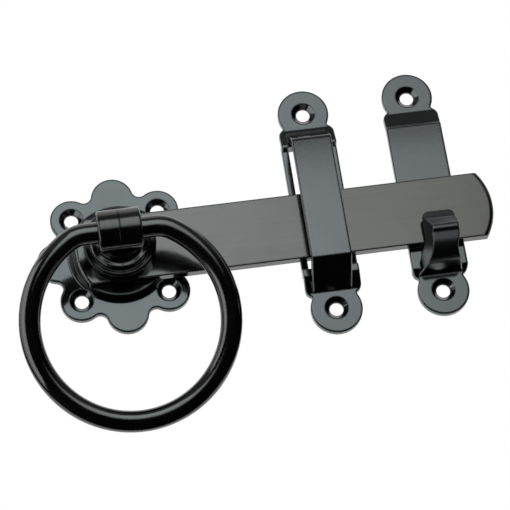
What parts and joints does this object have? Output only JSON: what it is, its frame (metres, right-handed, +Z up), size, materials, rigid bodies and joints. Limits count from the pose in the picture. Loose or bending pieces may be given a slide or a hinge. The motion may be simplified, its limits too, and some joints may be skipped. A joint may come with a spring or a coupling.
{
  "type": "ring gate latch",
  "caption": "Black ring gate latch: a ring handle on a lobed rose turns a flat bar, which a bridge keep guides and a hook catch holds.",
  "frame": {"origin": "on the spindle's axis, in the plane where the rose, keep and catch meet the gate and post", "axes": "+X along the bar from the ring to the catch, +Z up, front of the latch towards -Y"},
  "size_m": [0.2112, 0.0397, 0.1514],
  "materials": {
    "coated_sheet": "gloss",
    "coated_bar": "gloss",
    "coated_casting": "gloss",
    "coated_rod": "gloss"
  },
  "bodies": {
    "mountings": {"rose_plate": "coated_sheet", "keep_bridge": "coated_sheet", "catch_hook": "coated_sheet"},
    "latch": {"latch_bar": "coated_bar", "ring_boss": "coated_casting", "spindle_washer": "coated_casting"},
    "ring": {"ring_handle": "coated_rod"}
  },
  "joints": [
    {"name": "latch_lift", "type": "hinge", "parent": "mountings", "child": "latch", "pos_m": [0, 0, 0], "axis": [0, -1, 0], "range_deg": [0, 12.5]},
    {"name": "ring_swing", "type": "hinge", "parent": "latch", "child": "ring", "pos_m": [0, -0.0305, 0], "axis": [-1, 0, 0], "range_deg": [0, 215]}
  ]
}
